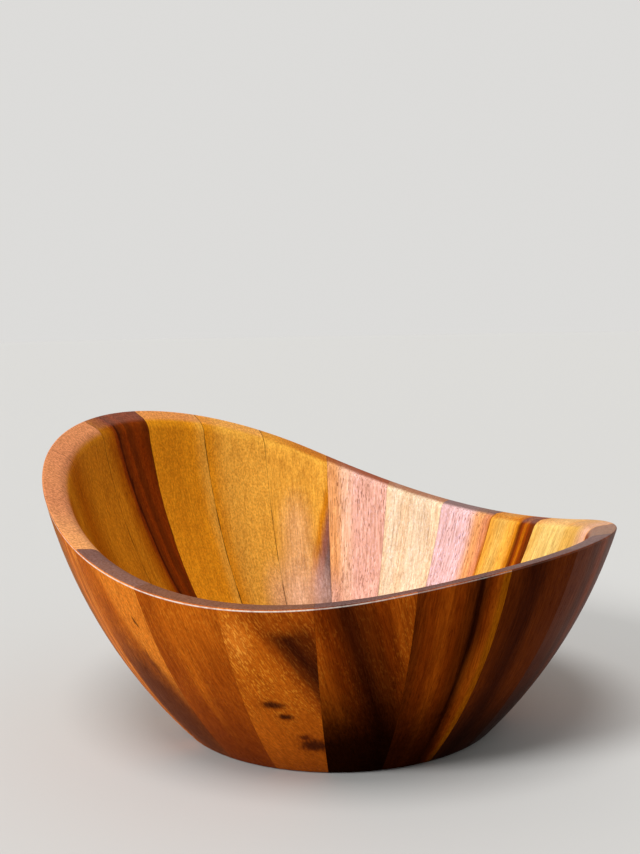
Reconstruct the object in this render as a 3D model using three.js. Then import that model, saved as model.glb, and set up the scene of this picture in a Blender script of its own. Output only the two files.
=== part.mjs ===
// A stave-built wooden salad bowl: a ring of edge-glued staves, turned inside and out, cut to a
// wave along the rim, and closed by a base of three edge-glued boards let into its foot.
// Millimetres, +Z up. The origin is where the turning axis meets the table, and +X points to the
// tall end of the rim.
import * as THREE from 'three';

// Turned wall, in section: one outward bow from the foot to the mouth
const footRadius = 79.6;
const mouthRadius = 150;
const mouthHeight = 150;
const wallBowRadius = 261.4;
const wallThickness = 11.3;

// Wave-cut rim, seen from the side: one bend around its lowest point, with straight ends
const dipHeight = 89;
const dipOffset = 38.7;
const rimBendRadius = 274.3;
const tallEndSlope = THREE.MathUtils.degToRad(28.6);
const lowEndSlope = THREE.MathUtils.degToRad(11.7);

// Eased edges, measured along each face from its corner
const outerRimEase = 1.3;
const innerRimEase = 4.6;
const footEase = 2;

// Floor of the bowl
const floorThickness = 14;
const floorFilletRadius = 20;
const floorLandWidth = 5.5;
const middleBoardWidth = 44;

// Staves, as widths along the mouth circle before the ring is drawn closed
const broadStaveWidth = 47.5;
const mediumStaveWidth = 45.35;
const slimStaveWidth = 44.1;
const firstJointAngle = THREE.MathUtils.degToRad(13.9);

// Glue line between neighbouring pieces
const glueGap = 0.3;

// Facets of the curved faces
const facetsPerStave = 4;
const facetsPerWall = 8;
const facetsPerFillet = 3;
const facetsPerEase = 3;
const facetsPerBoardEnd = 12;

// Oiled wood tones, from sapwood to heartwood
const tones = {
  cream: 0xd9b183,
  rose: 0xb9755a,
  honey: 0xb67a2c,
  amber: 0xa5631f,
  rust: 0x86421b,
  chestnut: 0x6b3417,
  walnut: 0x45230f,
};

// The ring counter-clockwise from its first joint, as the tones of the staves in each width
const ring = [
  { width: broadStaveWidth, tones: ['amber', 'honey', 'amber'] },
  { width: mediumStaveWidth, tones: ['amber', 'rust', 'amber', 'walnut', 'rust'] },
  {
    width: slimStaveWidth,
    tones: [
      'walnut', 'chestnut', 'rust', 'amber', 'honey', 'honey', 'rose',
      'cream', 'rose', 'honey', 'honey', 'amber', 'chestnut',
    ],
  },
];
const ringLength = ring.reduce((sum, part) => sum + part.width * part.tones.length, 0);

// Centre of the wall's bow, one bow radius from the foot and from the mouth
const foot = new THREE.Vector2(footRadius, 0);
const halfChord = new THREE.Vector2(mouthRadius, mouthHeight).sub(foot).multiplyScalar(0.5);
const inward = new THREE.Vector2(-halfChord.y, halfChord.x).normalize();
const bowRise = Math.sqrt(wallBowRadius ** 2 - halfChord.lengthSq());
const bowCentre = foot.clone().add(halfChord).addScaledVector(inward, bowRise);
const innerBowRadius = wallBowRadius - wallThickness;

// Fillet between the flat floor and the inner wall
const filletHeight = floorThickness + floorFilletRadius;
const filletReach = innerBowRadius - floorFilletRadius;
const filletRadius = bowCentre.x + Math.sqrt(filletReach ** 2 - (filletHeight - bowCentre.y) ** 2);
const filletCentre = new THREE.Vector2(filletRadius, filletHeight);

// The base is let into a round seat in the foot of the ring
const seatRadius = filletCentre.x - floorLandWidth;
const baseRadius = seatRadius - glueGap;

// Angle of a point of the section, seen from the centre of the wall's bow
function bowAngle(point) {
  return Math.atan2(point.y - bowCentre.y, point.x - bowCentre.x);
}

// Height of the wave cut at a distance along X, the same all the way across the bowl
function waveHeight(x) {
  const along = x + dipOffset;
  const tallEnd = rimBendRadius * Math.sin(tallEndSlope);
  const lowEnd = -rimBendRadius * Math.sin(lowEndSlope);
  const bent = THREE.MathUtils.clamp(along, lowEnd, tallEnd);
  const bendRise = rimBendRadius - Math.sqrt(rimBendRadius ** 2 - bent ** 2);
  const tallRise = Math.max(along - tallEnd, 0) * Math.tan(tallEndSlope);
  const lowRise = Math.max(lowEnd - along, 0) * Math.tan(lowEndSlope);
  return dipHeight + bendRise + tallRise + lowRise;
}

// Corner of the section where a wall face of the given bow radius meets the wave cut
function rimCorner(bowRadius, angle) {
  const corner = new THREE.Vector2(mouthRadius, mouthHeight);
  for (let pass = 0; pass < 60; pass += 1) {
    corner.y = waveHeight(corner.x * Math.cos(angle));
    corner.x = bowCentre.x + Math.sqrt(bowRadius ** 2 - (corner.y - bowCentre.y) ** 2);
  }
  return corner;
}

function arcPoints(centre, radius, from, to, steps) {
  const points = [];
  for (let k = 0; k <= steps; k += 1) {
    const angle = THREE.MathUtils.lerp(from, to, k / steps);
    const spoke = new THREE.Vector2(Math.cos(angle), Math.sin(angle));
    points.push(centre.clone().addScaledVector(spoke, radius));
  }
  return points;
}

function easedCorner(from, corner, to) {
  return new THREE.QuadraticBezierCurve(from, corner, to).getPoints(facetsPerEase);
}

function stepToward(from, to, distance) {
  return from.clone().addScaledVector(to.clone().sub(from).normalize(), distance);
}

// Outline of the wall on a plane through the axis, as radius and height, counter-clockwise
function wallSection(angle) {
  const outerCorner = rimCorner(wallBowRadius, angle);
  const innerCorner = rimCorner(innerBowRadius, angle);
  const outerFoot = bowAngle(foot) + footEase / wallBowRadius;
  const outerTop = bowAngle(outerCorner) - outerRimEase / wallBowRadius;
  const innerTop = bowAngle(innerCorner) - innerRimEase / innerBowRadius;
  const innerFoot = bowAngle(filletCentre);
  const outerWall = arcPoints(bowCentre, wallBowRadius, outerFoot, outerTop, facetsPerWall);
  const innerWall = arcPoints(bowCentre, innerBowRadius, innerTop, innerFoot, facetsPerWall);
  const fillet = arcPoints(filletCentre, floorFilletRadius, innerFoot, -Math.PI / 2, facetsPerFillet);
  const outerEdge = easedCorner(
    outerWall.at(-1), outerCorner, stepToward(outerCorner, innerCorner, outerRimEase),
  );
  const innerEdge = easedCorner(
    stepToward(innerCorner, outerCorner, innerRimEase), innerCorner, innerWall[0],
  );
  return [
    new THREE.Vector2(seatRadius, 0),
    new THREE.Vector2(footRadius - footEase, 0),
    ...outerWall,
    ...outerEdge.slice(1),
    ...innerEdge,
    ...innerWall.slice(1),
    ...fillet.slice(1),
    new THREE.Vector2(seatRadius, floorThickness),
  ];
}

// A stave between two joint angles, its joint faces set back by half the glue line
function staveGeometry(startAngle, endAngle) {
  const sections = [];
  const positions = [];
  for (let k = 0; k <= facetsPerStave; k += 1) {
    const angle = THREE.MathUtils.lerp(startAngle, endAngle, k / facetsPerStave);
    const setBack = (Number(k === 0) - Number(k === facetsPerStave)) * glueGap / 2;
    const section = wallSection(angle);
    sections.push(section);
    for (const point of section) {
      positions.push(
        point.x * Math.cos(angle) - setBack * Math.sin(angle),
        point.x * Math.sin(angle) + setBack * Math.cos(angle),
        point.y,
      );
    }
  }
  const count = sections[0].length;
  const triangles = [];
  for (let k = 0; k < facetsPerStave; k += 1) {
    for (let i = 0; i < count; i += 1) {
      const here = k * count + i;
      const next = k * count + (i + 1) % count;
      triangles.push(here, here + count, next, next, here + count, next + count);
    }
  }
  const lastSection = facetsPerStave * count;
  for (const [a, b, c] of THREE.ShapeUtils.triangulateShape(sections[0], [])) {
    triangles.push(a, b, c);
  }
  for (const [a, b, c] of THREE.ShapeUtils.triangulateShape(sections.at(-1), [])) {
    triangles.push(lastSection + a, lastSection + c, lastSection + b);
  }
  const geometry = new THREE.BufferGeometry();
  geometry.setAttribute('position', new THREE.Float32BufferAttribute(positions, 3));
  geometry.setIndex(triangles);
  geometry.computeVertexNormals();
  return geometry;
}

function boardGeometry(outline) {
  return new THREE.ExtrudeGeometry(outline, {
    depth: floorThickness,
    bevelEnabled: false,
    curveSegments: facetsPerBoardEnd,
  });
}

// The middle board of the base, round at both ends
function middleBoard() {
  const corner = Math.asin((middleBoardWidth - glueGap) / 2 / baseRadius);
  const outline = new THREE.Shape();
  outline.absarc(0, 0, baseRadius, -corner, corner);
  outline.absarc(0, 0, baseRadius, Math.PI - corner, Math.PI + corner);
  return boardGeometry(outline);
}

// A side board of the base, the rest of the disc beside the middle board
function sideBoard() {
  const corner = Math.asin((middleBoardWidth + glueGap) / 2 / baseRadius);
  const outline = new THREE.Shape();
  outline.absarc(0, 0, baseRadius, corner, Math.PI - corner);
  return boardGeometry(outline);
}

function oiledWood(tone) {
  return new THREE.MeshStandardMaterial({ color: tones[tone], roughness: 0.38, metalness: 0 });
}

function addPiece(group, name, geometry, tone) {
  const mesh = new THREE.Mesh(geometry, oiledWood(tone));
  mesh.name = name;
  group.add(mesh);
  return mesh;
}

const bowl = new THREE.Group();
let joint = firstJointAngle;
let staveNumber = 0;
for (const part of ring) {
  const span = 2 * Math.PI * part.width / ringLength;
  for (const tone of part.tones) {
    staveNumber += 1;
    const name = `stave_${String(staveNumber).padStart(2, '0')}`;
    addPiece(bowl, name, staveGeometry(joint, joint + span), tone);
    joint += span;
  }
}
addPiece(bowl, 'base_board_middle', middleBoard(), 'amber');
addPiece(bowl, 'base_board_left', sideBoard(), 'honey');
addPiece(bowl, 'base_board_right', sideBoard(), 'rust').rotation.z = Math.PI;

export default bowl;
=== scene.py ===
"""The looks of a stave-built wooden salad bowl: turned staves and base boards in oiled, streaky wood."""
import math

import bmesh
import bpy
from mathutils import Matrix, Vector


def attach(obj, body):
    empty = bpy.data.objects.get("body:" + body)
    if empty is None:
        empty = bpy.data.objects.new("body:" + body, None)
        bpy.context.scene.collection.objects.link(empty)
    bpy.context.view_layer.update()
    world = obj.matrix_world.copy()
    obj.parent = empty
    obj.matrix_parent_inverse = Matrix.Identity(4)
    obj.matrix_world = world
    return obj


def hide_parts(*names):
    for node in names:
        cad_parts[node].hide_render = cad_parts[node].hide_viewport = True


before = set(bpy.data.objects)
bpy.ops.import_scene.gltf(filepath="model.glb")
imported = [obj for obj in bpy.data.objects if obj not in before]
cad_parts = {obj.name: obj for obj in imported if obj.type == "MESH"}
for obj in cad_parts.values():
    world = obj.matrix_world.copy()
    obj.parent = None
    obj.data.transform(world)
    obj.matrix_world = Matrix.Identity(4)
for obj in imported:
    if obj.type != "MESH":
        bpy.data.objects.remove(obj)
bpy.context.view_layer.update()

# Sizes of the bowl, in metres, as the solids have them
MM = 0.001
FOOT_RADIUS = 79.6 * MM
MOUTH_RADIUS = 150 * MM
MOUTH_HEIGHT = 150 * MM
WALL_BOW_RADIUS = 261.4 * MM
WALL_THICKNESS = 11.3 * MM
INNER_BOW_RADIUS = WALL_BOW_RADIUS - WALL_THICKNESS
DIP_HEIGHT = 89 * MM
DIP_OFFSET = 38.7 * MM
RIM_BEND_RADIUS = 274.3 * MM
TALL_END_SLOPE = math.radians(28.6)
LOW_END_SLOPE = math.radians(11.7)
FLOOR_THICKNESS = 14 * MM
FLOOR_FILLET_RADIUS = 20 * MM
FLOOR_LAND_WIDTH = 5.5 * MM
MIDDLE_BOARD_WIDTH = 44 * MM
BROAD_STAVE_WIDTH = 47.5 * MM
MEDIUM_STAVE_WIDTH = 45.35 * MM
SLIM_STAVE_WIDTH = 44.1 * MM
FIRST_JOINT_ANGLE = math.radians(13.9)

# Eased edges and joints
OUTER_RIM_EASE = 1.3 * MM
INNER_RIM_EASE = 4.6 * MM
FOOT_EASE = 2 * MM
GLUE_LINE = 0.04 * MM

# Smoothness of the turned faces
STEPS_PER_STAVE = 16
OUTER_WALL_STEPS = 18
INNER_WALL_STEPS = 11
FILLET_STEPS = 10
EASE_STEPS = 6
BASE_STEPS = 180
SHARP_ANGLE = math.radians(40)

# How closely points of the wall are found and told apart
RIM_PASSES = 60
JOINT_TOLERANCE = 1e-5
CORNER_TOLERANCE = 1e-6

# Camera, as the photograph was taken, with the focal length and the long side in pixels
PHOTO_LONG_SIDE = 854
PHOTO_FOCAL_LENGTH = 1093.2
SENSOR_WIDTH = 36
NEAREST_SEEN = 0.01
CAMERA_DISTANCE = 0.5569
CAMERA_HEIGHT = 0.1992
CAMERA_BEARING = math.radians(124.31)
CAMERA_HEADING = math.radians(-54.93)
CAMERA_PITCH = math.radians(5.06)
CAMERA_ROLL = math.radians(1.15)

# Studio
FLOOR_REACH = 30
FLOOR_ROUGHNESS = 0.8
PALE_FLOOR = (0.58, 0.575, 0.56, 1)
FLOOR_BOUNCE = (0.3, 0.29, 0.27, 1)
SURROUND_COLOUR = (1, 0.99, 0.97, 1)
SOFT_LIGHT = 0.45
PALE_SURROUND = 0.72
KEY_BEARING = math.radians(72)
KEY_ELEVATION = math.radians(30)
KEY_STRENGTH = 1.98
KEY_SOFTNESS = math.radians(16)
TOP_BEARING = CAMERA_BEARING - math.radians(20)
TOP_ELEVATION = math.radians(68)
TOP_STRENGTH = 1.5
TOP_SOFTNESS = math.radians(25)


def bow_centre():
    """Centre of the wall's bow in section, as radius and height."""
    foot = Vector((FOOT_RADIUS, 0))
    half_chord = (Vector((MOUTH_RADIUS, MOUTH_HEIGHT)) - foot) / 2
    inward = Vector((-half_chord.y, half_chord.x)).normalized()
    rise = math.sqrt(WALL_BOW_RADIUS ** 2 - half_chord.length_squared)
    return foot + half_chord + inward * rise


BOW_CENTRE = bow_centre()
FILLET_HEIGHT = FLOOR_THICKNESS + FLOOR_FILLET_RADIUS
FILLET_REACH = INNER_BOW_RADIUS - FLOOR_FILLET_RADIUS
FILLET_RADIUS = BOW_CENTRE.x + math.sqrt(FILLET_REACH ** 2 - (FILLET_HEIGHT - BOW_CENTRE.y) ** 2)
SEAT_RADIUS = FILLET_RADIUS - FLOOR_LAND_WIDTH


def bow_angle(radius, height):
    return math.atan2(height - BOW_CENTRE.y, radius - BOW_CENTRE.x)


def on_bow(bow_radius, angle):
    return BOW_CENTRE.x + bow_radius * math.cos(angle), BOW_CENTRE.y + bow_radius * math.sin(angle)


def wave_height(x):
    """Height of the wave cut at a distance along X."""
    along = x + DIP_OFFSET
    tall_end = RIM_BEND_RADIUS * math.sin(TALL_END_SLOPE)
    low_end = -RIM_BEND_RADIUS * math.sin(LOW_END_SLOPE)
    bent = min(max(along, low_end), tall_end)
    bend_rise = RIM_BEND_RADIUS - math.sqrt(RIM_BEND_RADIUS ** 2 - bent ** 2)
    tall_rise = max(along - tall_end, 0) * math.tan(TALL_END_SLOPE)
    low_rise = max(low_end - along, 0) * math.tan(LOW_END_SLOPE)
    return DIP_HEIGHT + bend_rise + tall_rise + low_rise


def rim_angle(bow_radius, turn):
    """Angle up the wall's bow at which a wall face meets the wave cut, at a turn about the axis."""
    radius = MOUTH_RADIUS
    for _ in range(RIM_PASSES):
        height = wave_height(radius * math.cos(turn))
        radius = BOW_CENTRE.x + math.sqrt(bow_radius ** 2 - (height - BOW_CENTRE.y) ** 2)
    return bow_angle(radius, height)


OUTER_FOOT_ANGLE = bow_angle(FOOT_RADIUS, 0)
INNER_FOOT_ANGLE = bow_angle(FILLET_RADIUS, FILLET_HEIGHT)


def wall_outline(bm):
    """The wall's section as a closed wire on the XZ plane.

    Its layers note which wall face a point is on, by the face's bow radius, and how far up that face it
    lies. The points of the two wall faces are laid roughly here, and draw_up_to_wave puts them in place.
    """
    bow_layer = bm.verts.layers.float.new("bow")
    climb_layer = bm.verts.layers.float.new("climb")
    wire = []

    def add(radius, height, bow=0.0, climb=0.0):
        vert = bm.verts.new((radius, 0, height))
        vert[bow_layer] = bow
        vert[climb_layer] = climb
        wire.append(vert)

    add(SEAT_RADIUS, 0)
    for k in range(OUTER_WALL_STEPS + 1):
        climb = k / OUTER_WALL_STEPS
        radius = FOOT_RADIUS + climb * (MOUTH_RADIUS - FOOT_RADIUS)
        add(radius, climb * MOUTH_HEIGHT, WALL_BOW_RADIUS, climb)
    for k in range(INNER_WALL_STEPS + 1):
        climb = 1 - k / INNER_WALL_STEPS
        radius = SEAT_RADIUS + climb * MOUTH_RADIUS / 2
        add(radius, climb * MOUTH_HEIGHT, INNER_BOW_RADIUS, climb)
    for k in range(1, FILLET_STEPS + 1):
        angle = INNER_FOOT_ANGLE + (-math.pi / 2 - INNER_FOOT_ANGLE) * k / FILLET_STEPS
        radius = FILLET_RADIUS + FLOOR_FILLET_RADIUS * math.cos(angle)
        add(radius, FILLET_HEIGHT + FLOOR_FILLET_RADIUS * math.sin(angle))
    add(SEAT_RADIUS, FLOOR_THICKNESS)
    for here, after in zip(wire, wire[1:] + wire[:1]):
        bm.edges.new((here, after))
    return bow_layer, climb_layer


def draw_up_to_wave(bm, bow_layer, climb_layer, start, end):
    """Turns a spun wall to its place on the ring, between two joints.

    The wall points come onto the bowed faces, up to the wave cut, and the joint faces are set back by half
    a glue line.
    """
    for vert in bm.verts:
        turn = math.atan2(vert.co.y, vert.co.x) + start
        radius = math.hypot(vert.co.x, vert.co.y)
        height = vert.co.z
        bow = vert[bow_layer]
        if bow > 0:
            outer = bow > INNER_BOW_RADIUS + WALL_THICKNESS / 2
            low = OUTER_FOOT_ANGLE if outer else INNER_FOOT_ANGLE
            top = rim_angle(bow, turn)
            radius, height = on_bow(bow, low + (top - low) * vert[climb_layer])
        near_start = turn - start < JOINT_TOLERANCE
        near_end = end - turn < JOINT_TOLERANCE
        set_back = (near_start - near_end) * GLUE_LINE / 2
        outward = Vector((math.cos(turn), math.sin(turn), 0))
        along_ring = Vector((-math.sin(turn), math.cos(turn), 0))
        vert.co = outward * radius + along_ring * set_back + Vector((0, 0, height))


def ease(bm, edges, size):
    return bmesh.ops.bevel(
        bm, geom=edges, offset=size, offset_type="OFFSET", affect="EDGES",
        segments=EASE_STEPS, profile=0.5, material=-1,
    )


def mark_crest(verts, layer):
    """Notes the points on the round of an eased edge, but not those where it runs out into its faces."""
    on_edge = set(verts)
    for vert in verts:
        if all(edge.other_vert(vert) in on_edge for edge in vert.link_edges):
            vert[layer] = 1


def edges_at(bm, bow_layer, climb_layer, bow, climb):
    """Edges that run along the ring at one corner of the section."""

    def there(vert):
        on_face = abs(vert[bow_layer] - bow) < CORNER_TOLERANCE
        return on_face and abs(vert[climb_layer] - climb) < CORNER_TOLERANCE

    return [edge for edge in bm.edges if there(edge.verts[0]) and there(edge.verts[1])]


def add_object(name, data):
    added = bpy.data.objects.new(name, data)
    bpy.context.scene.collection.objects.link(added)
    return added


def finish_mesh(bm, name):
    bmesh.ops.recalc_face_normals(bm, faces=bm.faces)
    for face in bm.faces:
        face.smooth = True
    mesh = bpy.data.meshes.new(name)
    bm.to_mesh(mesh)
    bm.free()
    mesh.set_sharp_from_angle(angle=SHARP_ANGLE)
    return add_object(name, mesh)


def make_stave(name, start, end):
    """One stave: the wall's section spun between two joints, drawn up to the wave cut and eased."""
    bm = bmesh.new()
    bow_layer, climb_layer = wall_outline(bm)
    crest_layer = bm.verts.layers.float.new("rim_crest")
    bmesh.ops.spin(
        bm, geom=bm.verts[:] + bm.edges[:], cent=(0, 0, 0), axis=(0, 0, 1),
        angle=end - start, steps=STEPS_PER_STAVE,
    )
    draw_up_to_wave(bm, bow_layer, climb_layer, start, end)
    bmesh.ops.holes_fill(bm, edges=bm.edges, sides=0)
    outer_edge = ease(bm, edges_at(bm, bow_layer, climb_layer, WALL_BOW_RADIUS, 1), OUTER_RIM_EASE)
    mark_crest(outer_edge["verts"], crest_layer)
    ease(bm, edges_at(bm, bow_layer, climb_layer, INNER_BOW_RADIUS, 1), INNER_RIM_EASE)
    ease(bm, edges_at(bm, bow_layer, climb_layer, WALL_BOW_RADIUS, 0), FOOT_EASE)
    return finish_mesh(bm, name)


def make_board(name, low_side, high_side):
    """One board of the base: a disc cut along the board's two sides and given its thickness."""
    bm = bmesh.new()
    bmesh.ops.create_circle(bm, cap_ends=True, radius=SEAT_RADIUS - GLUE_LINE, segments=BASE_STEPS)
    for side, normal in ((low_side, -1), (high_side, 1)):
        if abs(side) < SEAT_RADIUS:
            bmesh.ops.bisect_plane(
                bm, geom=bm.verts[:] + bm.edges[:] + bm.faces[:], plane_co=(0, side, 0),
                plane_no=(0, normal, 0), clear_outer=True,
            )
    walls = bmesh.ops.extrude_face_region(bm, geom=bm.faces[:])
    top = [item for item in walls["geom"] if isinstance(item, bmesh.types.BMVert)]
    bmesh.ops.translate(bm, verts=top, vec=(0, 0, FLOOR_THICKNESS))
    return finish_mesh(bm, name)


def feed(tree, socket, value):
    """Links a socket to another one, or sets it to a plain value."""
    if isinstance(value, bpy.types.NodeSocket):
        tree.links.new(value, socket)
    else:
        socket.default_value = value


def feed_named(tree, node, inputs):
    """Feeds a node's inputs by their names, with underscores for the spaces."""
    for name, value in inputs.items():
        feed(tree, node.inputs[name.replace("_", " ")], value)


def new_node(tree, kind, **inputs):
    """A shader node with some of its inputs linked or set."""
    node = tree.nodes.new(kind)
    feed_named(tree, node, inputs)
    return node


def math_node(tree, operation, first, second=0.0, third=0.0):
    node = tree.nodes.new("ShaderNodeMath")
    node.operation = operation
    for socket, value in zip(node.inputs, (first, second, third)):
        feed(tree, socket, value)
    return node.outputs["Value"]


def vector_node(tree, operation, first, second=(0, 0, 0)):
    node = tree.nodes.new("ShaderNodeVectorMath")
    node.operation = operation
    feed(tree, node.inputs[0], first)
    feed(tree, node.inputs[1], second)
    return node.outputs["Value" if operation in ("DOT_PRODUCT", "LENGTH") else "Vector"]


def times(tree, first, second):
    return math_node(tree, "MULTIPLY", first, second)


def centred(tree, pattern):
    """A noise that lies about a half, brought to lie about nought."""
    return math_node(tree, "SUBTRACT", pattern, 0.5)


def strengthened(tree, gain, strength):
    """A gain that comes in with its strength, and is one without it."""
    return math_node(tree, "MULTIPLY_ADD", math_node(tree, "SUBTRACT", gain, 1.0), strength, 1.0)


def noise(tree, vector, detail, roughness):
    node = new_node(
        tree, "ShaderNodeTexNoise", Vector=vector, Scale=1.0, Detail=detail, Roughness=roughness,
    )
    return node.outputs["Fac"]


def scaled_noise(tree, vector, scale, detail, roughness):
    return noise(tree, vector_node(tree, "MULTIPLY", vector, scale), detail, roughness)


def smooth_range(tree, value, low, high, to_low=0.0, to_high=1.0):
    """Carries a value smoothly from one range to another, and holds it at the ends."""
    node = new_node(
        tree, "ShaderNodeMapRange", Value=value, From_Min=low, From_Max=high, To_Min=to_low, To_Max=to_high,
    )
    node.interpolation_type = "SMOOTHSTEP"
    return node.outputs["Result"]


# Places of a mix node's colour sockets, which share their names with its other kinds
MIX_FACTOR = 0
MIX_FIRST_COLOUR = 6
MIX_SECOND_COLOUR = 7
MIX_RESULT_COLOUR = 2


def mix_colour(tree, factor, first, second, blend="MIX"):
    node = tree.nodes.new("ShaderNodeMix")
    node.data_type = "RGBA"
    node.blend_type = blend
    feed(tree, node.inputs[MIX_FACTOR], factor)
    feed(tree, node.inputs[MIX_FIRST_COLOUR], first)
    feed(tree, node.inputs[MIX_SECOND_COLOUR], second)
    return node.outputs[MIX_RESULT_COLOUR]


def parts_of(tree, vector):
    node = new_node(tree, "ShaderNodeSeparateXYZ", Vector=vector)
    return node.outputs["X"], node.outputs["Y"], node.outputs["Z"]


def joined(tree, x, y, z):
    return new_node(tree, "ShaderNodeCombineXYZ", X=x, Y=y, Z=z).outputs["Vector"]


def new_group(name, inputs, outputs):
    """An empty shader node group with named sockets, as its tree, what it is given and what it puts out."""
    tree = bpy.data.node_groups.new(name, "ShaderNodeTree")
    for socket, kind in inputs.items():
        tree.interface.new_socket(socket, in_out="INPUT", socket_type=kind)
    for socket, kind in outputs.items():
        tree.interface.new_socket(socket, in_out="OUTPUT", socket_type=kind)
    entry = tree.nodes.new("NodeGroupInput")
    result = tree.nodes.new("NodeGroupOutput")
    return tree, entry.outputs, result.inputs


def place_group(tree, group, **inputs):
    node = tree.nodes.new("ShaderNodeGroup")
    node.node_tree = group
    feed_named(tree, node, inputs)
    return node.outputs


NUMBER = "NodeSocketFloat"
COLOUR = "NodeSocketColor"
VECTOR = "NodeSocketVector"

# Colour zones, in millimetres: the height up a board at which they lie as written, and the climb that a
# lean is measured over
ZONE_HEIGHT = 80
LEAN_CLIMB = 10

# How ragged the borders of the zones are, in half widths
RAGGED_BORDER = 0.18

# Growth bands, in millimetres: how far the grain sways, and how far behind the board the tree's heart lies
GRAIN_SWAY = 9.0
HEART_DEPTH = 60.0

# Fine lines in a growth band, and how fast the bands change along and across the board
LINES_PER_BAND = 5.0
CHANGE_ALONG = 0.005
CHANGE_ACROSS = 0.12

# Step in the noise from one seed to the next
SEED_STEP = 37.3

# How much a fully curled grain hides the straight fibres, and what pores and fibres do to the surface
CURL_HIDES = 0.6
PORE_ROUGHNESS = 0.2
PORE_DEPTH = 0.8
FIBRE_HEIGHT = 0.35


def board_grain_group():
    """Grain of one board, in millimetres: colour zones, growth bands, fibres, curls, flecks and pores."""
    tree, given, result = new_group(
        "board grain",
        {
            "Board": VECTOR, "Place": NUMBER, "Seed": NUMBER, "Lean": NUMBER, "Sway": NUMBER,
            "Slope": NUMBER, "Bands": NUMBER, "Band Width": NUMBER, "Curl": NUMBER, "Flecks": NUMBER,
            "Pores": NUMBER,
        },
        {
            "Zone": NUMBER, "Shade": NUMBER, "Flecks": NUMBER, "Pores": NUMBER, "Roughness": NUMBER,
            "Height": NUMBER,
        },
    )
    depth, across, along = parts_of(tree, given["Board"])
    leaning = math_node(tree, "MULTIPLY_ADD", along, given["Slope"], across)
    seed = times(tree, given["Seed"], SEED_STEP)

    def grain_noise(width, length, offset, detail=2, roughness=0.5):
        """Noise drawn out along the board, in grains of a width and a length."""
        shifted = math_node(tree, "ADD", seed, offset)
        x = math_node(tree, "MULTIPLY_ADD", depth, 1 / width, shifted)
        y = math_node(tree, "MULTIPLY_ADD", leaning, 1 / width, shifted)
        z = times(tree, along, 1 / length)
        return noise(tree, joined(tree, x, y, z), detail, roughness)

    sway = centred(tree, grain_noise(width=30, length=70, offset=3.1))
    ragged = centred(tree, grain_noise(width=2.2, length=60, offset=5.3, detail=3, roughness=0.6))
    climb = times(tree, math_node(tree, "SUBTRACT", along, ZONE_HEIGHT), 1 / LEAN_CLIMB)
    zone = math_node(tree, "MULTIPLY_ADD", climb, given["Lean"], given["Place"])
    zone = math_node(tree, "MULTIPLY_ADD", sway, given["Sway"], zone)
    tree.links.new(math_node(tree, "MULTIPLY_ADD", ragged, RAGGED_BORDER, zone), result["Zone"])

    swayed = math_node(tree, "MULTIPLY_ADD", sway, GRAIN_SWAY, leaning)
    behind = math_node(tree, "ADD", depth, HEART_DEPTH)
    from_heart = vector_node(tree, "LENGTH", joined(tree, behind, swayed, 0.0))
    ring = math_node(tree, "DIVIDE", from_heart, given["Band Width"])
    slow_along = times(tree, along, CHANGE_ALONG)
    slow_across = math_node(tree, "MULTIPLY_ADD", swayed, CHANGE_ACROSS, seed)
    bands = noise(tree, joined(tree, ring, slow_along, slow_across), detail=3, roughness=0.6)
    fine_ring = times(tree, ring, LINES_PER_BAND)
    lines = noise(tree, joined(tree, fine_ring, slow_along, slow_across), detail=2, roughness=0.55)
    fibres = grain_noise(width=0.45, length=15, offset=7.7, detail=3, roughness=0.6)
    strands = grain_noise(width=1.2, length=26, offset=17.1, detail=3, roughness=0.6)
    curls = grain_noise(width=1.1, length=1.5, offset=61.0, detail=3, roughness=0.6)
    cloud = grain_noise(width=14, length=45, offset=51.0)

    straight = math_node(tree, "MULTIPLY_ADD", given["Curl"], -CURL_HIDES, 1.0)
    shade = smooth_range(tree, cloud, 0.3, 0.7, 0.94, 1.06)
    for gain, strength in (
        (smooth_range(tree, bands, 0.30, 0.70, 1.16, 0.62), given["Bands"]),
        (smooth_range(tree, lines, 0.52, 0.72, 1.04, 0.66), given["Bands"]),
        (smooth_range(tree, fibres, 0.28, 0.72, 0.78, 1.20), straight),
        (smooth_range(tree, strands, 0.30, 0.70, 0.80, 1.18), straight),
        (smooth_range(tree, curls, 0.32, 0.68, 0.78, 1.20), given["Curl"]),
    ):
        shade = times(tree, shade, strengthened(tree, gain, strength))
    tree.links.new(shade, result["Shade"])

    flecks = smooth_range(tree, grain_noise(width=0.65, length=2.3, offset=13.9), 0.52, 0.64)
    fleck_field = smooth_range(tree, grain_noise(width=10, length=20, offset=21.0), 0.30, 0.52)
    up_the_board = smooth_range(tree, along, 25, 70, 0.15, 1.0)
    fleck_field = times(tree, fleck_field, up_the_board)
    fleck_mask = times(tree, times(tree, flecks, fleck_field), given["Flecks"])
    tree.links.new(fleck_mask, result["Flecks"])
    pore_noise = grain_noise(width=0.6, length=4.2, offset=31.7, detail=1, roughness=0.4)
    pores = smooth_range(tree, pore_noise, 0.58, 0.66)
    pore_field = smooth_range(tree, grain_noise(width=5, length=40, offset=43.0), 0.36, 0.60, 0.2, 1.0)
    pore_mask = times(tree, times(tree, pores, pore_field), given["Pores"])
    tree.links.new(pore_mask, result["Pores"])

    satin = smooth_range(tree, strands, 0.2, 0.8, 0.46, 0.36)
    tree.links.new(math_node(tree, "MULTIPLY_ADD", pore_mask, PORE_ROUGHNESS, satin), result["Roughness"])
    ridge = times(tree, fibres, FIBRE_HEIGHT)
    tree.links.new(math_node(tree, "MULTIPLY_ADD", pore_mask, -PORE_DEPTH, ridge), result["Height"])
    return tree


# How much faster green and blue fall than red in shaded grain
GREEN_FALL = 1.25
BLUE_FALL = 1.45

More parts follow.
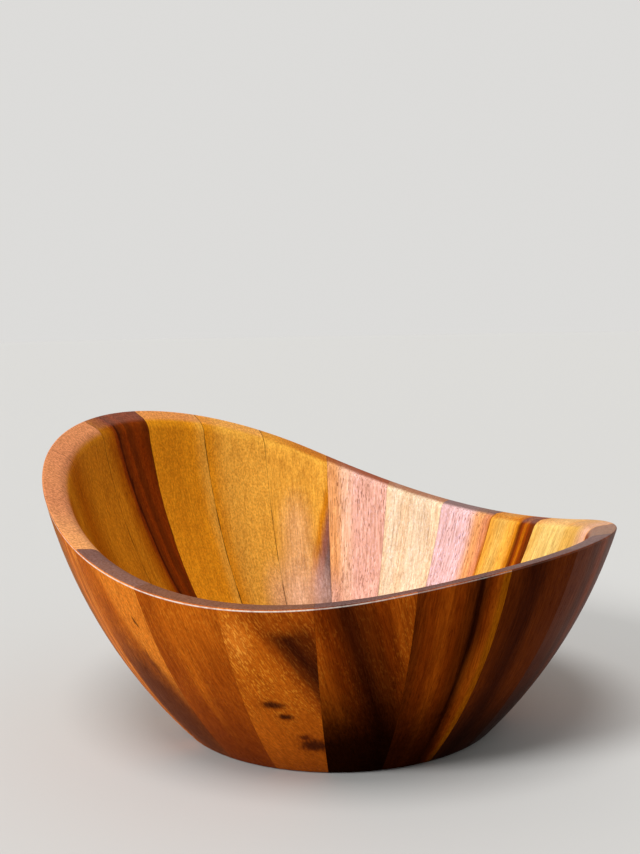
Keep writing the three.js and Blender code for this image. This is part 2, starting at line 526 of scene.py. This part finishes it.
# What flecks and pores do to the wood's colour
FLECK_TINT = (1.6, 2.5, 4.2, 1)
FLECK_STRENGTH = 0.8
PORE_TINT = (0.30, 0.20, 0.16, 1)
PORE_STRENGTH = 0.7


def oiled_tint_group():
    """Colours wood by its grain: shaded grain is deeper and redder, flecks are bright, pores are dark."""
    tree, given, result = new_group(
        "oiled tint",
        {"Wood": COLOUR, "Shade": NUMBER, "Flecks": NUMBER, "Pores": NUMBER},
        {"Color": COLOUR},
    )
    green = math_node(tree, "POWER", given["Shade"], GREEN_FALL)
    blue = math_node(tree, "POWER", given["Shade"], BLUE_FALL)
    wood = mix_colour(tree, 1.0, given["Wood"], joined(tree, given["Shade"], green, blue), "MULTIPLY")
    bright = mix_colour(tree, 1.0, given["Wood"], FLECK_TINT, "MULTIPLY")
    wood = mix_colour(tree, times(tree, given["Flecks"], FLECK_STRENGTH), wood, bright)
    dark = mix_colour(tree, 1.0, given["Wood"], PORE_TINT, "MULTIPLY")
    wood = mix_colour(tree, times(tree, given["Pores"], PORE_STRENGTH), wood, dark)
    tree.links.new(wood, result["Color"])
    return tree


# Fineness of the torn border of a mark, and of the patches in which a glue line shows, for each millimetre
TEAR_SCALE = (0.3, 0.7, 0.25)
PATCH_SCALE = (0.05, 0.05, 0.05)


def mark_group():
    """A knot, stain or bark mark on a board, as a torn ellipse."""
    tree, given, result = new_group(
        "board mark",
        {
            "Board": VECTOR, "Across": NUMBER, "Along": NUMBER, "Width": NUMBER, "Length": NUMBER,
            "Turn": NUMBER, "Softness": NUMBER, "Tear": NUMBER,
        },
        {"Mask": NUMBER},
    )
    _, across, along = parts_of(tree, given["Board"])
    x = math_node(tree, "SUBTRACT", across, given["Across"])
    y = math_node(tree, "SUBTRACT", along, given["Along"])
    cosine = math_node(tree, "COSINE", given["Turn"])
    sine = math_node(tree, "SINE", given["Turn"])
    turned_x = math_node(tree, "ADD", times(tree, x, cosine), times(tree, y, sine))
    turned_y = math_node(tree, "SUBTRACT", times(tree, y, cosine), times(tree, x, sine))
    near_x = math_node(tree, "DIVIDE", turned_x, given["Width"])
    near_y = math_node(tree, "DIVIDE", turned_y, given["Length"])
    reach = vector_node(tree, "LENGTH", joined(tree, near_x, near_y, 0.0))
    torn = centred(tree, scaled_noise(tree, given["Board"], TEAR_SCALE, detail=3, roughness=0.6))
    reach = math_node(tree, "MULTIPLY_ADD", torn, given["Tear"], reach)
    inner = math_node(tree, "SUBTRACT", 1.0, given["Softness"])
    tree.links.new(smooth_range(tree, reach, inner, 1.0, 1.0, 0.0), result["Mask"])
    return tree


def glue_line_group():
    """A thin dark line where two staves meet, clear in some places and lost in others."""
    tree, given, result = new_group("glue line", {"Turned": VECTOR, "Slope": NUMBER}, {"Mask": NUMBER})
    outward, sideways, _ = parts_of(tree, given["Turned"])
    joint = times(tree, outward, given["Slope"])
    gap = math_node(tree, "SUBTRACT", joint, math_node(tree, "ABSOLUTE", sideways))
    patch = scaled_noise(tree, given["Turned"], PATCH_SCALE, detail=3, roughness=0.6)
    width = smooth_range(tree, patch, 0.36, 0.62, 0.14, 0.6)
    line = smooth_range(tree, math_node(tree, "DIVIDE", gap, width), 0.2, 1.0, 1.0, 0.0)
    tree.links.new(line, result["Mask"])
    return tree


BOARD_GRAIN = board_grain_group()
OILED_TINT = oiled_tint_group()
BOARD_MARK = mark_group()
GLUE_MARK = glue_line_group()


def colour(code):
    """A written colour, such as b67a2c, as the linear values that a shader takes."""
    values = []
    for k in range(3):
        part = int(code[2 * k:2 * k + 2], 16) / 255
        values.append(part / 12.92 if part <= 0.04045 else ((part + 0.055) / 1.055) ** 2.4)
    return (*values, 1.0)


WOOD = {
    # Worn wood and sapwood; the palest is also a painted highlight on the rim's outer edge
    "bare_and_highlight": colour("f6eade"),
    "ivory": colour("ebd1b0"),
    "cream": colour("e5c39c"),
    "butter": colour("e8c370"),
    "straw": colour("e1af54"),
    # Heartwood, from golden to nearly black
    "gold": colour("eca83e"),
    "ochre": colour("e4921a"),
    "honey": colour("cc7e16"),
    "amber": colour("b16008"),
    "apricot": colour("ec8426"),
    "orange": colour("cc6612"),
    "rust": colour("ae500c"),
    "russet": colour("8a3806"),
    "umber": colour("622c12"),
    "chestnut": colour("6e2d06"),
    "chocolate": colour("461804"),
    "walnut": colour("300f03"),
    "ebony": colour("1a0601"),
    # Rosy wood
    "sand": colour("e8a367"),
    "salmon": colour("f0bc9a"),
    "rose": colour("e8b09c"),
    "mauve": colour("e4bab8"),
    "peach": colour("d68a5e"),
    # Dull wood of sawn ends and streaks; plum, the usual sawn end, is also lighter and greyer with a
    # painted sheen of the sky
    "tan": colour("c48e68"),
    "hazel": colour("96705a"),
    "mulberry": colour("8f5848"),
    "cocoa": colour("74503f"),
    "plum": colour("705651"),
}

# Zones of colour run from this far before a board's middle to as far after it, in half widths
ZONE_REACH = 1.5


class Mark:
    """A knot or stain on a board: its middle, half sizes and turn on the board, and its colour."""

    def __init__(self, across, along, width, length, tone, strength, turn=0.0, softness=0.5, tear=0.9):
        self.shape = {
            "Across": across, "Along": along, "Width": width, "Length": length, "Turn": turn,
            "Softness": softness, "Tear": tear,
        }
        self.tone = tone
        self.strength = strength


def shade(across, along, width, length, tone, strength, softness=0.95):
    """A broad patch of colour that fades out smoothly. Most are stains in the wood; those at the feet of
    staves 05 to 10 are partly painted shade, and the pale glows low on staves 18 and 19 are a painted
    sheen.
    """
    return Mark(across, along, width, length, tone, strength, softness=softness, tear=0.15)


# Sizes of a knot's stain and heart, as times its width and times its length
KNOT_HALO = (2, 2.8)
KNOT_HEART = (1.35, 1.5)


def knot(across, along, width, length):
    """A small knot: a dark heart in a russet halo."""
    halo_size = (width * KNOT_HALO[0], length * KNOT_HALO[1])
    heart_size = (width * KNOT_HEART[0], length * KNOT_HEART[1])
    halo = Mark(across, along, *halo_size, "russet", 0.75, softness=0.95)
    heart = Mark(across, along, *heart_size, "chocolate", 0.92, softness=0.75)
    return halo, heart


class Finish:
    """How one piece of wood looks: its grain's seed and its colour zones, and a tone that is not used.

    A zone is a place across the board, in half widths, and a colour. The looks below are those of a plain
    piece, and a finish changes some of them.
    """

    # Zones: how far they lean for each 10 mm up the board and how far they sway, in half widths
    lean = 0.0
    sway = 0.25
    # Grain: its slope across the board, then the strength of each of its patterns
    slope = 0.0
    bands = 0.5
    band_width = 5.0
    curl = 0.15
    flecks = 0.15
    pores = 0.5
    # Sawn end on the rim: its colour and strength, how steep a face starts to show it, and marks on it
    end_tone = "plum"
    end_stain = 0.93
    end_start = 0.25
    end_marks = ()
    # Warm tone of the outside, a pale line on the rim's outer edge that is partly bare wood from use and
    # partly a painted highlight, sheen, glue line inside, and marks
    patina = 0.0
    wear_and_highlight = 0.05
    gloss = 0.01
    glue = 0.3
    marks = ()

    def __init__(self, tone, seed, zones, **looks):
        self.tone = tone
        self.seed = seed
        self.zones = zones
        for name, value in looks.items():
            setattr(self, name, value)


def zone_ramp(tree, zone, zones):
    """The wood's colour from joint to joint, blended between its zones."""
    node = tree.nodes.new("ShaderNodeValToRGB")
    node.color_ramp.interpolation = "EASE"
    stops = node.color_ramp.elements
    while len(stops) < len(zones):
        stops.new(1.0)
    for stop, (place, tone) in zip(stops, zones):
        stop.position = (place / ZONE_REACH + 1) / 2
        stop.color = WOOD[tone]
    on_ramp = math_node(tree, "MULTIPLY_ADD", zone, 0.5 / ZONE_REACH, 0.5)
    tree.links.new(on_ramp, node.inputs["Fac"])
    return node.outputs["Color"]


def seen_from(tree, rotation, location):
    """Places on a piece in millimetres, turned to a rotation and measured from a location."""
    spot = new_node(tree, "ShaderNodeTexCoord").outputs["Object"]
    mapping = new_node(
        tree, "ShaderNodeMapping", Vector=spot, Location=location, Rotation=rotation, Scale=(MM, MM, MM),
    )
    mapping.vector_type = "TEXTURE"
    return mapping.outputs["Vector"]


def marked(tree, board, wood, marks):
    for mark in marks:
        mask = place_group(tree, BOARD_MARK, Board=board, **mark.shape)["Mask"]
        wood = mix_colour(tree, times(tree, mask, mark.strength), wood, WOOD[mark.tone])
    return wood


# Sawn ends: how much steeper a face is where they show in full, and the fineness of their pores
END_STEEPNESS = 0.35
END_PORE_SCALE = (1.1, 1.1, 0.5)

# Heights, in millimetres, between which the stain of the sawn ends comes in
STAIN_STARTS = 40
STAIN_IN_FULL = 65


def with_sawn_end(tree, wood, finish, board, height, facing, outside):
    """Wood with the stain and the cut pores of the sawn end, where it faces along the board."""
    steep = smooth_range(tree, facing, finish.end_start, finish.end_start + END_STEEPNESS)
    end_grain = times(tree, steep, smooth_range(tree, outside, 0.5, 0.8, 1.0, 0.0))
    speckle = scaled_noise(tree, board, END_PORE_SCALE, detail=3, roughness=0.6)
    at_rim = smooth_range(tree, height, STAIN_STARTS, STAIN_IN_FULL, 0.0, finish.end_stain)
    end_shade = times(tree, end_grain, smooth_range(tree, speckle, 0.35, 0.65, 0.9, 1.0))
    end_wood = marked(tree, board, WOOD[finish.end_tone], finish.end_marks)
    wood = mix_colour(tree, times(tree, end_shade, at_rim), wood, end_wood)
    gain = strengthened(tree, smooth_range(tree, speckle, 0.32, 0.68, 0.72, 1.25), end_grain)
    return mix_colour(tree, 1.0, wood, joined(tree, gain, gain, gain), "MULTIPLY")


# Fineness of the scuffs on the rim, for each millimetre
SCUFF_SCALE = (0.5, 0.5, 0.5)


def with_worn_and_highlit_edge(tree, wood, finish, board, normal):
    """Wood with a pale line along the lower part of the rim's eased outer edge: partly wood rubbed pale by
    use, partly a painted highlight.
    """
    edge = tree.nodes.new("ShaderNodeAttribute")
    edge.attribute_name = "rim_crest"
    rounded = smooth_range(tree, edge.outputs["Fac"], 0.0, 0.6)
    # Partly a painted highlight: the pale line keeps to the lower part of the round, where the edge catches
    # the light
    below = smooth_range(tree, parts_of(tree, normal)[2], 0.1, 0.45, 1.0, 0.0)
    scuffs = scaled_noise(tree, board, SCUFF_SCALE, detail=4, roughness=0.65)
    scuffed = smooth_range(tree, scuffs, 0.3, 0.6, 0.5 * finish.wear_and_highlight, finish.wear_and_highlight)
    worn_and_highlit = times(tree, times(tree, rounded, below), scuffed)
    return mix_colour(tree, worn_and_highlit, wood, WOOD["bare_and_highlight"])


# Strength of a glue line on the outside
OUTSIDE_GLUE = 0.08


def with_glue_line(tree, wood, finish, turned, outside, joint_slope):
    """Wood with a dark line along its joints, clearer on the inside."""
    line = place_group(tree, GLUE_MARK, Turned=turned, Slope=joint_slope)["Mask"]
    shown = smooth_range(tree, outside, -0.3, 0.4, finish.glue, OUTSIDE_GLUE)
    return mix_colour(tree, times(tree, line, shown), wood, WOOD["walnut"])


# Relief of the fibres and pores
BUMP_STRENGTH = 0.3
BUMP_DEPTH = 0.25 * MM


def wood_material(name, finish, turn, tilt, origin, half_width=0, joint_slope=0):
    """Oiled wood for one piece, with its grain along the board.

    A stave widens upwards by its joint slope, and a plain board has one half width.
    """
    material = bpy.data.materials.new(name)
    material.use_nodes = True
    tree = material.node_tree
    tree.nodes.clear()
    board = seen_from(tree, (0, tilt, turn), origin)
    turned = seen_from(tree, (0, 0, turn), (0, 0, 0))
    outward, sideways, height = parts_of(tree, turned)
    if joint_slope:
        place = math_node(tree, "DIVIDE", sideways, times(tree, outward, joint_slope))
    else:
        place = math_node(tree, "DIVIDE", parts_of(tree, board)[1], half_width / MM)
    grain = place_group(
        tree, BOARD_GRAIN, Board=board, Place=place, Seed=finish.seed, Lean=finish.lean, Sway=finish.sway,
        Slope=finish.slope, Bands=finish.bands, Band_Width=finish.band_width, Curl=finish.curl,
        Flecks=finish.flecks, Pores=finish.pores,
    )

    normal = new_node(tree, "ShaderNodeNewGeometry").outputs["Normal"]
    outside = vector_node(tree, "DOT_PRODUCT", normal, (math.cos(turn), math.sin(turn), 0))
    axis = Matrix.Rotation(turn, 3, "Z") @ Matrix.Rotation(tilt, 3, "Y") @ Vector((0, 0, 1))
    facing = vector_node(tree, "DOT_PRODUCT", normal, axis)
    wood = marked(tree, board, zone_ramp(tree, grain["Zone"], finish.zones), finish.marks)
    if finish.patina:
        warmth = smooth_range(tree, outside, 0.1, 0.5, 0.0, finish.patina)
        wood = mix_colour(tree, warmth, wood, WOOD["orange"])
    wood = place_group(
        tree, OILED_TINT, Wood=wood, Shade=grain["Shade"], Flecks=grain["Flecks"], Pores=grain["Pores"],
    )["Color"]
    wood = with_sawn_end(tree, wood, finish, board, height, facing, outside)
    wood = with_worn_and_highlit_edge(tree, wood, finish, board, normal)
    if joint_slope:
        wood = with_glue_line(tree, wood, finish, turned, outside, joint_slope)

    bump = new_node(
        tree, "ShaderNodeBump", Height=grain["Height"], Strength=BUMP_STRENGTH, Distance=BUMP_DEPTH,
    )
    shader = new_node(
        tree, "ShaderNodeBsdfPrincipled", Base_Color=wood, Roughness=grain["Roughness"],
        Specular_IOR_Level=finish.gloss, Normal=bump.outputs["Normal"],
    )
    new_node(tree, "ShaderNodeOutputMaterial", Surface=shader.outputs["BSDF"])
    return material


# The ring counter-clockwise from its first joint: the staves of each width and how each one looks
# The pale line on the rim's outer edge is strongest on the front staves 03 to 07, where it is partly a
# painted highlight
RING = [
    (BROAD_STAVE_WIDTH, [
        Finish(
            "amber", 1, [(-1, "honey"), (0, "honey"), (1, "amber")],
            bands=0.15, curl=0.7, pores=0.3, wear_and_highlight=0.2, glue=0.6,
            end_tone="peach", end_stain=0.9, end_start=0.02,
        ),
        Finish(
            "honey", 2, [(-1, "amber"), (0, "honey"), (1, "amber")],
            bands=0.15, curl=0.7, pores=0.3, wear_and_highlight=0.2, glue=0.15,
            end_tone="peach", end_stain=0.9, end_start=0.02,
        ),
        Finish(
            "amber", 3,
            [
                (-1, "amber"), (0, "amber"), (0.3, "orange"), (0.45, "apricot"), (0.6, "orange"),
                (0.8, "apricot"), (1, "orange"),
            ],
            bands=0.3, flecks=0.3, wear_and_highlight=0.6, glue=0.15,
            end_tone="sand", end_stain=0.9, end_start=0.02,
            end_marks=[shade(-24, 130, 42, 90, "peach", 1.0)],
        ),
    ]),
    (MEDIUM_STAVE_WIDTH, [
        Finish(
            "amber", 4,
            [(-1.4, "orange"), (-0.4, "orange"), (0.1, "orange"), (0.45, "apricot"), (1.4, "apricot")],
            lean=0.2, bands=0.15, flecks=0.3, curl=0.6, wear_and_highlight=0.9,
            marks=[
                Mark(11.1, 89.5, 0.9, 3.4, "walnut", 0.85, turn=0.35),
                shade(-8, 92, 9, 12, "rust", 0.7),
                Mark(0, 33, 30, 64, "umber", 0.93, turn=0.2, softness=0.7, tear=0.4),
                Mark(8.5, 65, 3.5, 15, "umber", 0.6, turn=0.35, softness=0.9),
            ],
        ),
        Finish(
            "rust", 5, [(-1, "rust"), (-0.5, "rust"), (-0.25, "orange"), (0.1, "rust"), (1, "rust")],
            lean=0.06, bands=0.2, slope=0.12, flecks=0.4, curl=0.4, wear_and_highlight=0.9, end_tone="cocoa",
            marks=[
                shade(-13, 88, 6, 20, "rust", 0.5),
                shade(4, 94, 30, 30, "orange", 0.95),
                # Painted shade at the foot, partly darker wood: russet towards the bottom
                shade(0, 4, 36, 70, "russet", 0.95),
            ],
        ),
        Finish(
            "amber", 6,
            [
                (-1.4, "orange"), (-0.7, "orange"), (-0.1, "orange"), (0.16, "rust"), (0.42, "chestnut"),
                (0.7, "chocolate"), (1.1, "chestnut"), (1.4, "russet"),
            ],
            lean=0.276, bands=0.15, flecks=1.0, curl=0.6, pores=0.25, slope=0.4, wear_and_highlight=0.9, end_tone="cocoa",
            marks=[
                shade(-14, 88, 9, 20, "apricot", 0.7),
                shade(3, 101, 22, 12, "rust", 0.9, softness=0.6),
                # Painted shade at the foot, partly darker wood
                shade(0, 2, 30, 34, "rust", 0.5),
                *knot(-3.6, 52.1, 5.0, 2.0),
                *knot(0.8, 44.7, 3.4, 1.5),
                *knot(6.8, 30.2, 2.4, 1.8),
                *knot(10.3, 24.4, 6.4, 4.2),
            ],
        ),
        Finish(
            "walnut", 7,
            [
                (-1, "rust"), (-0.6, "russet"), (-0.1, "chocolate"), (0.3, "chestnut"), (0.6, "russet"),
                (0.85, "rust"), (1.4, "rust"),
            ],
            lean=0.13, bands=0.5, flecks=0.6, slope=0.25, wear_and_highlight=0.6, gloss=0,
            # Painted shade at the foot, partly darker wood: nearly black towards the bottom
            marks=[shade(0, -10, 70, 100, "ebony", 0.98, softness=0.65)],
        ),
        Finish(
            "rust", 8,
            [
                (-1, "chestnut"), (-0.6, "russet"), (-0.3, "rust"), (-0.1, "russet"), (0.15, "chestnut"),
                (0.35, "walnut"), (0.5, "chestnut"), (0.62, "russet"), (0.74, "rust"), (0.9, "amber"),
                (1, "amber"),
            ],
            bands=0.3, sway=0.15, wear_and_highlight=0.35, gloss=0,
            marks=[
                # Painted shade at the foot, partly darker wood
                shade(-8, -10, 32, 84, "walnut", 0.95, softness=0.65),
                shade(12, 62, 7, 30, "orange", 0.45),
            ],
        ),
    ]),
    (SLIM_STAVE_WIDTH, [
        Finish(
            "walnut", 9,
            [(-1, "chestnut"), (-0.3, "chocolate"), (0.3, "chestnut"), (0.7, "chestnut"), (1, "chestnut")],
            bands=0.3, gloss=0.005,
            # Painted shade at the foot, partly darker wood
            marks=[shade(0, -10, 70, 72, "ebony", 0.85, softness=0.65)],
        ),
        Finish(
            "chestnut", 10,
            [(-1, "chestnut"), (-0.4, "chestnut"), (0, "umber"), (0.5, "russet"), (1, "umber")],
            bands=0.3, gloss=0.025,
            # Painted shade at the foot, partly darker wood
            marks=[shade(0, -10, 70, 112, "ebony", 0.92, softness=0.8)],
        ),
        Finish(
            "rust", 11, [(-1, "umber"), (0, "chestnut"), (1, "russet")],
            bands=0.4, gloss=0.025, end_tone="hazel", end_stain=0.9, end_start=0.02,
            end_marks=[Mark(6, 101, 20, 9, "tan", 0.9, softness=0.6)],
        ),
        Finish(
            "amber", 12, [(-1, "sand"), (-0.6, "salmon"), (0.5, "straw"), (1, "straw")],
            bands=0.2, curl=0.4, patina=0.8, end_tone="tan", end_stain=0.7,
        ),
        Finish(
            "honey", 13, [(-1, "straw"), (-0.5, "butter"), (0.3, "butter"), (1, "straw")],
            bands=0.2, patina=0.7, end_tone="peach", end_stain=0.5,
        ),
        Finish(
            "honey", 14,
            [
                (-1, "chestnut"), (-0.82, "chestnut"), (-0.72, "russet"), (-0.6, "amber"), (-0.5, "russet"),
                (-0.38, "chestnut"), (-0.2, "honey"), (0, "gold"), (0.5, "straw"), (1, "gold"),
            ],
            sway=0.12, bands=0.3, patina=0.4, end_tone="rust", end_stain=0.6,
            end_marks=[Mark(-12, 99, 9, 8, "plum", 0.95, softness=0.6)],
        ),
        Finish(
            "rose", 15, [(-1, "amber"), (-0.8, "peach"), (-0.5, "sand"), (0, "mauve"), (1, "mauve")],
            pores=1.0, bands=0.2, patina=0.7, end_start=0.45,
        ),
        Finish(
            "cream", 16, [(-1, "cream"), (-0.2, "ivory"), (0.3, "cream"), (0.7, "ivory"), (1, "cream")],
            bands=0.2, curl=0.45, patina=0.7, end_tone="russet", end_stain=0.8, end_start=0.45,
        ),
        Finish(
            "rose", 17, [(-1, "rose"), (0, "rose"), (0.4, "salmon"), (0.75, "sand"), (1, "sand")],
            pores=1.0, bands=0.2, patina=0.65, end_tone="russet", end_start=0.45,
            marks=[shade(12, 36, 12, 30, "rose", 0.85)],
        ),
        Finish(
            "honey", 18,
            [
                (-1.5, "plum"), (-1.15, "plum"), (-0.9, "mulberry"), (-0.62, "honey"), (-0.42, "gold"),
                (1, "gold"),
            ],
            lean=0.14, sway=0.15, pores=0.3, curl=0.6, bands=0.3, patina=0.8,
            end_tone="rust", end_stain=0.7,
            end_marks=[shade(18, 125, 26, 40, "gold", 0.9)],
            marks=[
                # Painted sheen: a pale glow low on the far inside
                shade(4, 38, 26, 48, "salmon", 0.85),
                shade(-9, 46, 9, 24, "mauve", 0.3),
                # Painted sheen: the glow's paler upper reach
                shade(3, 84, 15, 34, "salmon", 0.4),
            ],
        ),
        Finish(
            "honey", 19, [(-1, "gold"), (0.3, "gold"), (1, "ochre")],
            curl=0.9, bands=0.2, pores=0.25, glue=0.9, patina=0.8, end_tone="peach", end_stain=0.35,
            # Painted sheen: a pale glow low on the far inside
            marks=[shade(-14, 38, 16, 36, "salmon", 0.6)],
        ),
        Finish(
            "amber", 20, [(-1, "gold"), (-0.5, "ochre"), (1, "ochre")],
            curl=0.8, bands=0.2, pores=0.25, glue=0.9, patina=0.5, end_tone="peach", end_stain=0.6,
        ),
        Finish(
            "chestnut", 21,
            [
                (-1.4, "chestnut"), (-0.95, "russet"), (-0.68, "chestnut"), (-0.6, "chestnut"),
                (-0.5, "russet"), (-0.24, "chestnut"), (-0.14, "chocolate"), (-0.06, "russet"),
                (0.12, "amber"), (0.6, "honey"), (1.4, "honey"),
            ],
            lean=-0.059, sway=0.06, bands=0.25, curl=0.5, glue=0.7, end_tone="mulberry", end_stain=0.55,
        ),
    ]),
]
RING_LENGTH = sum(width * len(finishes) for width, finishes in RING)

# Tilt of the grain from upright, in a stave and in a board of the base
STAVE_TILT = math.atan2(MOUTH_RADIUS - FOOT_RADIUS, MOUTH_HEIGHT)
BASE_TILT = math.pi / 2


def settle(piece, node, material):
    """Gives a piece its material and lets it stand for its solid on the bowl."""
    piece.data.materials.append(material)
    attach(piece, "root")
    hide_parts(node)


def build_ring():
    joint = FIRST_JOINT_ANGLE
    number = 0
    for width, finishes in RING:
        span = 2 * math.pi * width / RING_LENGTH
        for finish in finishes:
            number += 1
            node = f"stave_{number:02d}"
            piece = make_stave(f"turned_{node}", joint, joint + span)
            middle = joint + span / 2
            origin = (FOOT_RADIUS * math.cos(middle), FOOT_RADIUS * math.sin(middle), 0)
            slope = math.tan(span / 2)
            wood = wood_material(f"wood of {node}", finish, middle, STAVE_TILT, origin, joint_slope=slope)
            settle(piece, node, wood)
            joint += span


# The boards of the base, with the places of their two sides
HALF_MIDDLE = MIDDLE_BOARD_WIDTH / 2
BOARDS = [
    (
        "base_board_right", -SEAT_RADIUS, -HALF_MIDDLE - GLUE_LINE / 2,
        Finish("rust", 31, [(-1, "russet"), (0, "rust"), (1, "rust")]),
    ),
    (
        "base_board_middle", -HALF_MIDDLE + GLUE_LINE / 2, HALF_MIDDLE - GLUE_LINE / 2,
        Finish("amber", 32, [(-1, "amber"), (-0.2, "honey"), (0.6, "amber"), (1, "rust")]),
    ),
    (
        "base_board_left", HALF_MIDDLE + GLUE_LINE / 2, SEAT_RADIUS,
        Finish("honey", 33, [(-1, "honey"), (0.2, "gold"), (1, "honey")]),
    ),
]


def build_base():
    for node, low_side, high_side, finish in BOARDS:
        piece = make_board(f"turned_{node}", low_side, high_side)
        origin = (0, (low_side + high_side) / 2, 0)
        half_width = (high_side - low_side) / 2
        wood = wood_material(f"wood of {node}", finish, 0, BASE_TILT, origin, half_width=half_width)
        settle(piece, node, wood)


def make_camera():
    """The camera at the photograph's place, looking the photograph's way."""
    data = bpy.data.cameras.new("camera")
    data.sensor_width = SENSOR_WIDTH
    data.lens = PHOTO_FOCAL_LENGTH / PHOTO_LONG_SIDE * SENSOR_WIDTH
    data.clip_start = NEAREST_SEEN
    camera = add_object("camera", data)
    x = CAMERA_DISTANCE * math.cos(CAMERA_BEARING)
    y = CAMERA_DISTANCE * math.sin(CAMERA_BEARING)
    place = Matrix.Translation((x, y, CAMERA_HEIGHT))
    heading = Matrix.Rotation(CAMERA_HEADING - math.pi / 2, 4, "Z")
    tilt = Matrix.Rotation(math.pi / 2 - CAMERA_PITCH, 4, "X")
    roll = Matrix.Rotation(-CAMERA_ROLL, 4, "Z")
    camera.matrix_world = place @ heading @ tilt @ roll
    bpy.context.scene.camera = camera


def make_sun(name, bearing, elevation, strength, softness):
    """A sun lamp that shines on the bowl from a bearing and an elevation."""
    data = bpy.data.lights.new(name, "SUN")
    data.energy = strength
    data.angle = softness
    lamp = add_object(name, data)
    level = math.cos(elevation)
    toward = Vector((level * math.cos(bearing), level * math.sin(bearing), math.sin(elevation)))
    aim = (-toward).to_track_quat("-Z", "Y").to_matrix().to_4x4()
    lamp.matrix_world = Matrix.Translation(toward) @ aim


def seen_ray(tree):
    """One where a surface is seen, straight or in a reflection, and nought for the light it gives off."""
    path = tree.nodes.new("ShaderNodeLightPath")
    seen = math_node(tree, "MAXIMUM", path.outputs["Is Camera Ray"], path.outputs["Is Glossy Ray"])
    return math_node(tree, "MAXIMUM", seen, path.outputs["Is Transmission Ray"])


def make_floor():
    """A plain pale floor that the bowl stands on."""
    bm = bmesh.new()
    bmesh.ops.create_grid(bm, x_segments=1, y_segments=1, size=FLOOR_REACH)
    mesh = bpy.data.meshes.new("floor")
    bm.to_mesh(mesh)
    bm.free()
    floor = add_object("floor", mesh)
    material = bpy.data.materials.new("pale floor")
    material.use_nodes = True
    tree = material.node_tree
    shader = tree.nodes["Principled BSDF"]
    tree.links.new(mix_colour(tree, seen_ray(tree), FLOOR_BOUNCE, PALE_FLOOR), shader.inputs["Base Color"])
    shader.inputs["Roughness"].default_value = FLOOR_ROUGHNESS
    mesh.materials.append(material)


def make_light():
    """Soft light from a pale surround, from the camera's left and from above."""
    world = bpy.data.worlds.new("studio")
    world.use_nodes = True
    bpy.context.scene.world = world
    tree = world.node_tree
    surround = tree.nodes["Background"]
    surround.inputs["Color"].default_value = SURROUND_COLOUR
    strength = math_node(tree, "MULTIPLY_ADD", seen_ray(tree), PALE_SURROUND - SOFT_LIGHT, SOFT_LIGHT)
    tree.links.new(strength, surround.inputs["Strength"])
    make_sun("key", KEY_BEARING, KEY_ELEVATION, KEY_STRENGTH, KEY_SOFTNESS)
    make_sun("top", TOP_BEARING, TOP_ELEVATION, TOP_STRENGTH, TOP_SOFTNESS)


bpy.context.scene.view_settings.view_transform = "Standard"
make_camera()
make_floor()
make_light()
build_ring()
build_base()
